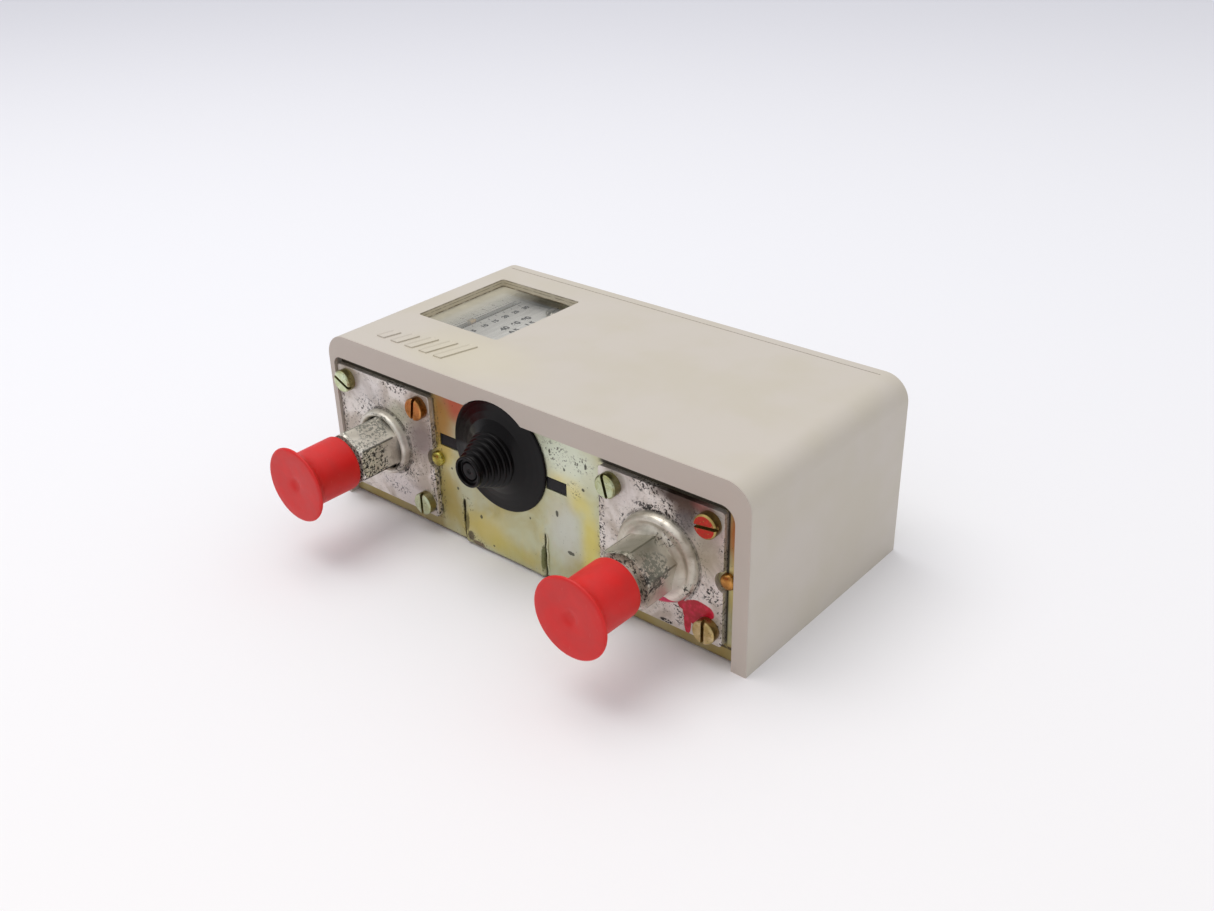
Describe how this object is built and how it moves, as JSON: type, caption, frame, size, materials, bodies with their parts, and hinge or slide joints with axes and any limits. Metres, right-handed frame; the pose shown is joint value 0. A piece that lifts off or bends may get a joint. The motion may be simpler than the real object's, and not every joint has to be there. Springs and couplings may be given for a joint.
{
  "type": "dual pressure switch",
  "caption": "Dual pressure switch in a moulded cover, with low and high pressure ports, setting spindles, change-over contacts and a cable grommet.",
  "frame": {"origin": "centre of the width and height, on the flat back plane that the switch is mounted by", "axes": "+X across the width from the low-pressure to the high-pressure side, +Y from the ports to the setting spindles, +Z out of the front cover"},
  "size_m": [0.125, 0.0946, 0.0452],
  "materials": {
    "cover_plastic": "warm grey moulded plastic, fine satin grain",
    "clear_plastic": "clear acrylic",
    "chromated_steel": "yellow chromate over zinc",
    "zinc_steel": "white zinc, speckled with grime",
    "plated_brass": "dull yellow plating",
    "brass": "turned brass",
    "tinned_brass": "tin plate over brass",
    "bellows_bronze": "formed bronze",
    "spring_steel": "drawn wire",
    "arm_steel": "zinc plated pressing",
    "grommet_rubber": "black moulded rubber",
    "cap_plastic": "soft red plastic",
    "black_plastic": "black moulded plastic",
    "scale_metal": "anodised scale with printed ticks",
    "base_plastic": "dark moulded phenolic",
    "contact_silver": "silver contact"
  },
  "bodies": {
    "case": {"frame": "chromated_steel", "plate_rivets": "brass", "low_bellows_plate": "zinc_steel", "high_bellows_plate": "zinc_steel", "low_plate_screws": "plated_brass", "high_plate_screws": "plated_brass", "low_connector": "zinc_steel", "high_connector": "zinc_steel", "cable_grommet": "grommet_rubber", "low_bellows": "bellows_bronze", "high_bellows": "bellows_bronze", "arm_pivot_pins": "arm_steel", "pivot_clips": "spring_steel", "low_main_spring": "spring_steel", "high_main_spring": "spring_steel", "scale_plate": "scale_metal", "scale_bracket": "chromated_steel", "scale_screws": "plated_brass", "high_nut_guide": "chromated_steel", "high_guide_screw": "plated_brass", "cover_screw": "plated_brass", "earth_screw": "plated_brass", "earth_washer": "tinned_brass", "contact_base": "base_plastic", "contact_base_screws": "plated_brass", "terminal_plates": "tinned_brass", "terminal_clamps": "tinned_brass", "terminal_screws": "tinned_brass", "fixed_contacts": "brass", "contact_arm_pins": "arm_steel", "low_reset_spring": "spring_steel", "high_reset_spring": "spring_steel"},
    "cover": {"cover": "cover_plastic", "window_lens": "clear_plastic"},
    "low_cap": {"low_cap": "cap_plastic"},
    "low_spindle": {"low_spindle": "arm_steel", "low_spindle_clip": "spring_steel"},
    "low_nut": {"low_setting_nut": "brass"},
    "low_arm": {"low_main_arm": "arm_steel"},
    "low_pin": {"low_thrust_pin": "arm_steel"},
    "low_contact": {"low_contact_arm": "brass", "low_moving_contact": "contact_silver"},
    "low_button": {"low_reset_button": "black_plastic"},
    "high_cap": {"high_cap": "cap_plastic"},
    "high_spindle": {"high_spindle": "arm_steel", "high_spindle_clip": "spring_steel"},
    "high_nut": {"high_setting_nut": "brass"},
    "high_arm": {"high_main_arm": "arm_steel"},
    "high_pin": {"high_thrust_pin": "arm_steel"},
    "high_contact": {"high_contact_arm": "brass", "high_moving_contact": "contact_silver"},
    "high_button": {"high_reset_button": "black_plastic"}
  },
  "joints": [
    {"name": "cover_off", "type": "slide", "parent": "case", "child": "cover", "axis": [0, 0, 1], "range_m": [0, 0.06]},
    {"name": "low_cap_off", "type": "slide", "parent": "case", "child": "low_cap", "axis": [0, -1, 0], "range_m": [0, 0.02]},
    {"name": "low_spindle_turn", "type": "hinge", "parent": "case", "child": "low_spindle", "pos_m": [-0.0444, 0.03, 0.0205], "axis": [0, 1, 0], "range_deg": [-3600, 2160]},
    {"name": "low_nut_travel", "type": "slide", "parent": "case", "child": "low_nut", "axis": [0, 1, 0], "range_m": [-0.006, 0.01], "deforming": ["low_main_spring"]},
    {"name": "low_arm_swing", "type": "hinge", "parent": "case", "child": "low_arm", "pos_m": [-0.0544, -0.0165, 0.0205], "axis": [0, 0, 1], "range_deg": [0, 3], "stiffness_Nm_per_rad": 0.5, "springref_deg": -0.57, "deforming": ["low_main_spring"]},
    {"name": "low_pin_travel", "type": "slide", "parent": "case", "child": "low_pin", "axis": [0, 1, 0], "range_m": [0, 0.00055], "deforming": ["low_bellows"]},
    {"name": "low_contact_swing", "type": "hinge", "parent": "case", "child": "low_contact", "pos_m": [-0.022, 0.019, 0.02225], "axis": [0, 0, -1], "range_deg": [0, 9.2]},
    {"name": "low_reset_press", "type": "slide", "parent": "case", "child": "low_button", "axis": [0, 1, 0], "range_m": [0, 0.0025], "stiffness_N_per_m": 200, "springref_m": -0.001, "deforming": ["low_reset_spring"]},
    {"name": "high_cap_off", "type": "slide", "parent": "case", "child": "high_cap", "axis": [0, -1, 0], "range_m": [0, 0.02]},
    {"name": "high_spindle_turn", "type": "hinge", "parent": "case", "child": "high_spindle", "pos_m": [0.0397, 0.03, 0.0205], "axis": [0, 1, 0], "range_deg": [-3600, 2160]},
    {"name": "high_nut_travel", "type": "slide", "parent": "case", "child": "high_nut", "axis": [0, 1, 0], "range_m": [-0.006, 0.01], "deforming": ["high_main_spring"]},
    {"name": "high_arm_swing", "type": "hinge", "parent": "case", "child": "high_arm", "pos_m": [0.0497, -0.0165, 0.0205], "axis": [0, 0, -1], "range_deg": [0, 3], "stiffness_Nm_per_rad": 0.5, "springref_deg": -0.57, "deforming": ["high_main_spring"]},
    {"name": "high_pin_travel", "type": "slide", "parent": "case", "child": "high_pin", "axis": [0, 1, 0], "range_m": [0, 0.00055], "deforming": ["high_bellows"]},
    {"name": "high_contact_swing", "type": "hinge", "parent": "case", "child": "high_contact", "pos_m": [0.0173, 0.019, 0.02225], "axis": [0, 0, 1], "range_deg": [0, 9.2]},
    {"name": "high_reset_press", "type": "slide", "parent": "case", "child": "high_button", "axis": [0, 1, 0], "range_m": [0, 0.0025], "stiffness_N_per_m": 200, "springref_m": -0.001, "deforming": ["high_reset_spring"]}
  ],
  "couplings": [
    {"joint": "low_spindle_turn", "follows": "low_nut_travel", "rad_per_m": -6283.2},
    {"joint": "low_pin_travel", "follows": "low_arm_swing", "m_per_rad": 0.01},
    {"joint": "low_contact_swing", "follows": "low_arm_swing", "ratio": 3.05},
    {"joint": "high_spindle_turn", "follows": "high_nut_travel", "rad_per_m": -6283.2},
    {"joint": "high_pin_travel", "follows": "high_arm_swing", "m_per_rad": 0.01},
    {"joint": "high_contact_swing", "follows": "high_arm_swing", "ratio": 3.05}
  ]
}
